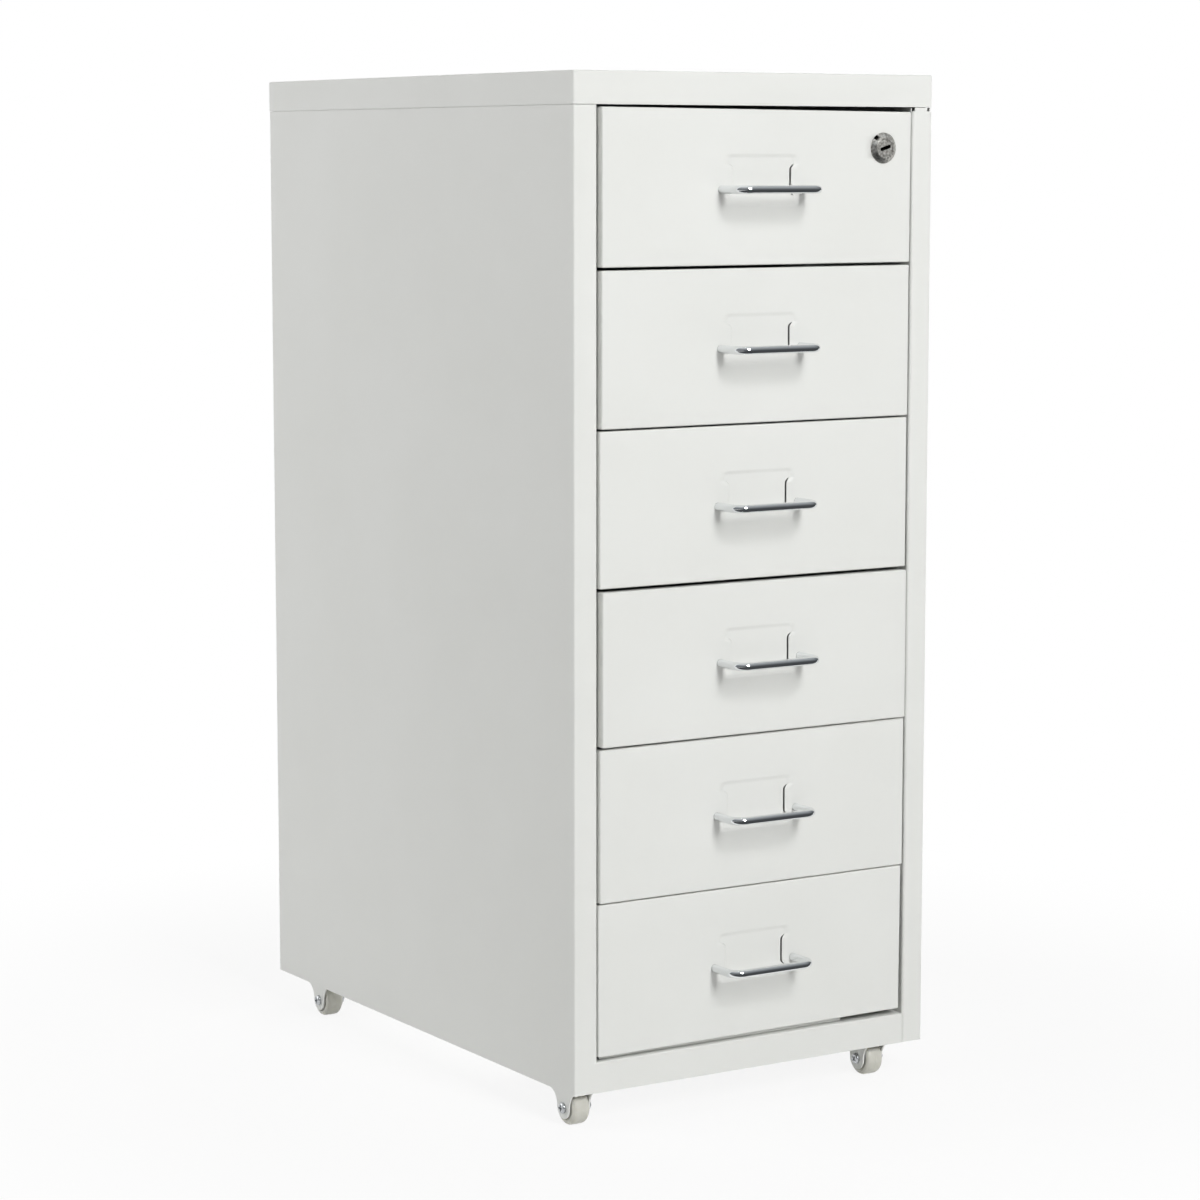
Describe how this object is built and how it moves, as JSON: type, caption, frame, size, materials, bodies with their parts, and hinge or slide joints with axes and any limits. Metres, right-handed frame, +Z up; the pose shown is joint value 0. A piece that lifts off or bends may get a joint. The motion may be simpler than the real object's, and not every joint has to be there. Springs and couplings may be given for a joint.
{
  "type": "mobile file cabinet",
  "caption": "Narrow sheet-steel drawer unit on small fixed wheels, with wire pulls, pressed label pockets, channel runners and a cam lock in the top drawer.",
  "frame": {"origin": "on the floor, under the middle of the whole part with pulls and screw heads", "axes": "+Z up, drawers open towards -Y, +X to the right of someone facing the drawers"},
  "size_m": [0.2872, 0.462, 0.69],
  "materials": {
    "white_steel": "satin powder coat, fine texture",
    "chrome_wire": "bright chrome plate",
    "zinc_steel": "bright zinc plate",
    "lock_nickel": "polished nickel plate",
    "wheel_plastic": "moulded off-white plastic"
  },
  "bodies": {
    "cabinet": {"left_side_panel": "white_steel", "right_side_panel": "white_steel", "back_panel": "white_steel", "top_panel": "white_steel", "bottom_panel": "white_steel", "runner_left_1": "white_steel", "runner_right_1": "white_steel", "runner_left_2": "white_steel", "runner_right_2": "white_steel", "runner_left_3": "white_steel", "runner_right_3": "white_steel", "runner_left_4": "white_steel", "runner_right_4": "white_steel", "runner_left_5": "white_steel", "runner_right_5": "white_steel", "runner_left_6": "white_steel", "runner_right_6": "white_steel", "castor_fork_front_left": "white_steel", "castor_fork_front_right": "white_steel", "castor_fork_rear_left": "white_steel", "castor_fork_rear_right": "white_steel", "castor_sleeves": "zinc_steel", "castor_screws": "zinc_steel", "castor_nuts": "zinc_steel", "panel_screws": "zinc_steel", "lock_strike": "zinc_steel"},
    "drawer_1": {"drawer_front_1": "white_steel", "drawer_tray_1": "white_steel", "handle_1": "chrome_wire", "handle_screws_1": "zinc_steel", "lock_body": "lock_nickel", "lock_nut": "zinc_steel"},
    "drawer_2": {"drawer_front_2": "white_steel", "drawer_tray_2": "white_steel", "handle_2": "chrome_wire", "handle_screws_2": "zinc_steel"},
    "drawer_3": {"drawer_front_3": "white_steel", "drawer_tray_3": "white_steel", "handle_3": "chrome_wire", "handle_screws_3": "zinc_steel"},
    "drawer_4": {"drawer_front_4": "white_steel", "drawer_tray_4": "white_steel", "handle_4": "chrome_wire", "handle_screws_4": "zinc_steel"},
    "drawer_5": {"drawer_front_5": "white_steel", "drawer_tray_5": "white_steel", "handle_5": "chrome_wire", "handle_screws_5": "zinc_steel"},
    "drawer_6": {"drawer_front_6": "white_steel", "drawer_tray_6": "white_steel", "handle_6": "chrome_wire", "handle_screws_6": "zinc_steel"},
    "lock_cylinder": {"lock_plug": "lock_nickel", "lock_cam": "zinc_steel", "cam_screw": "zinc_steel"},
    "wheel_front_left": {"castor_wheel_front_left": "wheel_plastic"},
    "wheel_front_right": {"castor_wheel_front_right": "wheel_plastic"},
    "wheel_rear_left": {"castor_wheel_rear_left": "wheel_plastic"},
    "wheel_rear_right": {"castor_wheel_rear_right": "wheel_plastic"}
  },
  "joints": [
    {"name": "drawer_1_slide", "type": "slide", "parent": "cabinet", "child": "drawer_1", "axis": [0, -1, 0], "range_m": [-0.0044, 0.2848]},
    {"name": "drawer_2_slide", "type": "slide", "parent": "cabinet", "child": "drawer_2", "axis": [0, -1, 0], "range_m": [-0.004, 0.2852]},
    {"name": "drawer_3_slide", "type": "slide", "parent": "cabinet", "child": "drawer_3", "axis": [0, -1, 0], "range_m": [-0.0016, 0.2876]},
    {"name": "drawer_4_slide", "type": "slide", "parent": "cabinet", "child": "drawer_4", "axis": [0, -1, 0], "range_m": [-0.0052, 0.284]},
    {"name": "drawer_5_slide", "type": "slide", "parent": "cabinet", "child": "drawer_5", "axis": [0, -1, 0], "range_m": [-0.002, 0.2872]},
    {"name": "drawer_6_slide", "type": "slide", "parent": "cabinet", "child": "drawer_6", "axis": [0, -1, 0], "range_m": [0, 0.2892]},
    {"name": "lock_turn", "type": "hinge", "parent": "drawer_1", "child": "lock_cylinder", "pos_m": [0.09925, -0.2032, 0.6411], "axis": [0, 1, 0], "range_deg": [0, 90]},
    {"name": "wheel_front_left_spin", "type": "hinge", "parent": "cabinet", "child": "wheel_front_left", "pos_m": [-0.1335, -0.1844, 0.0118], "axis": [1, 0, 0], "continuous": true},
    {"name": "wheel_front_right_spin", "type": "hinge", "parent": "cabinet", "child": "wheel_front_right", "pos_m": [0.1066, -0.1844, 0.0118], "axis": [1, 0, 0], "continuous": true},
    {"name": "wheel_rear_left_spin", "type": "hinge", "parent": "cabinet", "child": "wheel_rear_left", "pos_m": [-0.1335, 0.1644, 0.0118], "axis": [1, 0, 0], "continuous": true},
    {"name": "wheel_rear_right_spin", "type": "hinge", "parent": "cabinet", "child": "wheel_rear_right", "pos_m": [0.1066, 0.1644, 0.0118], "axis": [1, 0, 0], "continuous": true}
  ]
}
